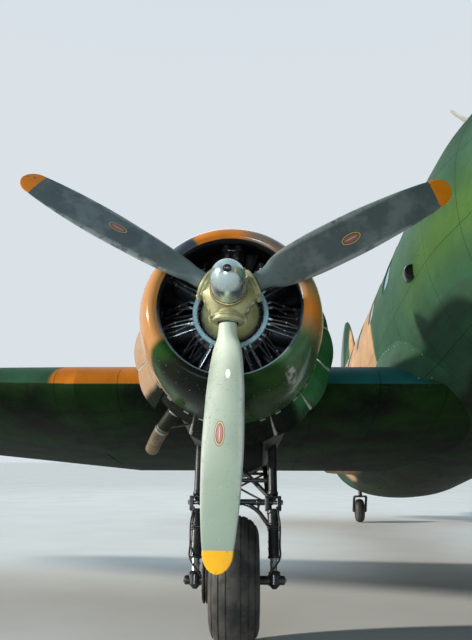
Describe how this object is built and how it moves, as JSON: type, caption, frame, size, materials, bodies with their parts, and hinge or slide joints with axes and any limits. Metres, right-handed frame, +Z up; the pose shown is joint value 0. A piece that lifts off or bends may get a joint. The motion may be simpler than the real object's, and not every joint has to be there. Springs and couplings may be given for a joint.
{
  "type": "military transport plane",
  "caption": "Twin-engine military transport plane with a tail wheel, radial engines, camouflage paint, a hollow cabin and side cargo doors.",
  "frame": {"origin": "centre of the bounding box on the ground plane, with the plane parked on its three wheels", "axes": "+X to the left wing tip, +Y towards the tail, +Z up; the nose points to -Y and is pitched up 9.64 degrees"},
  "size_m": [29.11, 19.5271, 5.2936],
  "materials": {
    "body_paint": "matt camouflage of tan, mid green and dark green over black undersides, faded, with oil stains and chips",
    "propeller": "grey painted blades with scratches and orange yellow tips",
    "polished_metal": "polished, slightly oily",
    "engine_metal": "finned castings, oily grey and black",
    "exhaust_metal": "heat browned and sooty",
    "tyre": "worn rubber with grooves round the tread",
    "gear_paint": "satin black, with bright oleo pistons",
    "glass": "clear, slightly dusty"
  },
  "bodies": {
    "airframe": {"cockpit_glazing": "glass", "cowl_flaps_left": "body_paint", "cowl_flaps_right": "body_paint", "cowl_left": "body_paint", "cowl_right": "body_paint", "engine_left": "engine_metal", "engine_right": "engine_metal", "exhaust_left": "exhaust_metal", "exhaust_right": "exhaust_metal", "fin": "body_paint", "fuselage_cabin": "body_paint", "fuselage_nose": "body_paint", "gear_drag_left": "gear_paint", "gear_drag_right": "gear_paint", "gear_legs_left": "gear_paint", "gear_legs_right": "gear_paint", "nacelle_left": "body_paint", "nacelle_right": "body_paint", "tail_cone": "body_paint", "tail_strut": "gear_paint", "tailplane": "body_paint", "wing_centre": "body_paint", "wing_left": "body_paint", "wing_right": "body_paint"},
    "propeller_left_body": {"propeller_left": "propeller", "prop_dome_left": "polished_metal"},
    "main_wheel_left": {"tyre_left": "tyre", "wheel_left": "gear_paint"},
    "aileron_left_body": {"aileron_left": "body_paint"},
    "flap_outer_left_body": {"flap_outer_left": "body_paint"},
    "propeller_right_body": {"propeller_right": "propeller", "prop_dome_right": "polished_metal"},
    "main_wheel_right": {"tyre_right": "tyre", "wheel_right": "gear_paint"},
    "aileron_right_body": {"aileron_right": "body_paint"},
    "flap_outer_right_body": {"flap_outer_right": "body_paint"},
    "flaps_inner": {"flap_inner_left": "body_paint", "flap_inner_right": "body_paint"},
    "elevators": {"elevator_left": "body_paint", "elevator_right": "body_paint"},
    "rudder_body": {"rudder": "body_paint"},
    "tail_castor": {"tail_fork": "gear_paint"},
    "tail_wheel_body": {"tail_tyre": "tyre", "tail_wheel": "gear_paint"},
    "door_front": {"cargo_door_front": "body_paint"},
    "door_rear": {"cargo_door_rear": "body_paint"}
  },
  "joints": [
    {"name": "propeller_left_spin", "type": "hinge", "parent": "airframe", "child": "propeller_left_body", "pos_m": [2.82, -6.99495, 2.6616], "axis": [0, -0.9859, 0.1675], "continuous": true},
    {"name": "main_wheel_left_spin", "type": "hinge", "parent": "airframe", "child": "main_wheel_left", "pos_m": [2.82, -5.16352, 0.54503], "axis": [1, 0, 0], "continuous": true},
    {"name": "propeller_right_spin", "type": "hinge", "parent": "airframe", "child": "propeller_right_body", "pos_m": [-2.82, -6.99495, 2.6616], "axis": [0, -0.9859, 0.1675], "continuous": true},
    {"name": "main_wheel_right_spin", "type": "hinge", "parent": "airframe", "child": "main_wheel_right", "pos_m": [-2.82, -5.16352, 0.54503], "axis": [1, 0, 0], "continuous": true},
    {"name": "aileron_left_hinge", "type": "hinge", "parent": "airframe", "child": "aileron_left_body", "pos_m": [8.7, -1.57141, 2.01039], "axis": [0.9935, 0.0791, 0.0817], "range_deg": [-25, 25]},
    {"name": "aileron_right_hinge", "type": "hinge", "parent": "airframe", "child": "aileron_right_body", "pos_m": [-8.7, -1.57141, 2.01039], "axis": [0.9935, -0.0791, -0.0817], "range_deg": [-25, 25]},
    {"name": "flaps_inner_hinge", "type": "hinge", "parent": "airframe", "child": "flaps_inner", "pos_m": [0, -1.62763, 1.45374], "axis": [-1, 0, 0], "range_deg": [0, 45]},
    {"name": "flap_outer_left_hinge", "type": "hinge", "parent": "airframe", "child": "flap_outer_left_body", "pos_m": [4.4, -1.62102, 1.46346], "axis": [-0.9932, -0.0656, -0.0966], "range_deg": [0, 45]},
    {"name": "flap_outer_right_hinge", "type": "hinge", "parent": "airframe", "child": "flap_outer_right_body", "pos_m": [-4.4, -1.62102, 1.46346], "axis": [-0.9932, 0.0656, 0.0966], "range_deg": [0, 45]},
    {"name": "elevator_hinge", "type": "hinge", "parent": "airframe", "child": "elevators", "pos_m": [0, 7.08272, 1.63977], "axis": [-1, 0, 0], "range_deg": [-30, 20]},
    {"name": "rudder_hinge", "type": "hinge", "parent": "airframe", "child": "rudder_body", "pos_m": [0, 7.83239, 2.17174], "axis": [0, 0.1675, 0.9859], "range_deg": [-30, 30]},
    {"name": "tail_castor_swivel", "type": "hinge", "parent": "airframe", "child": "tail_castor", "pos_m": [0, 6.44353, 0.6833], "axis": [0, 0.1675, 0.9859], "continuous": true},
    {"name": "tail_wheel_spin", "type": "hinge", "parent": "tail_castor", "child": "tail_wheel_body", "pos_m": [0, 6.5982, 0.2801], "axis": [1, 0, 0], "continuous": true},
    {"name": "cargo_door_front_hinge", "type": "hinge", "parent": "airframe", "child": "door_front", "pos_m": [1.29302, 1.13947, 2.15731], "axis": [0.0903, -0.1668, -0.9818], "range_deg": [0, 110]},
    {"name": "cargo_door_rear_hinge", "type": "hinge", "parent": "airframe", "child": "door_rear", "pos_m": [1.12645, 3.20193, 1.80699], "axis": [-0.0903, 0.1668, 0.9818], "range_deg": [0, 110]}
  ],
  "couplings": [
    {"joint": "aileron_right_hinge", "follows": "aileron_left_hinge", "ratio": -1},
    {"joint": "flap_outer_left_hinge", "follows": "flaps_inner_hinge", "ratio": 1},
    {"joint": "flap_outer_right_hinge", "follows": "flaps_inner_hinge", "ratio": 1}
  ]
}
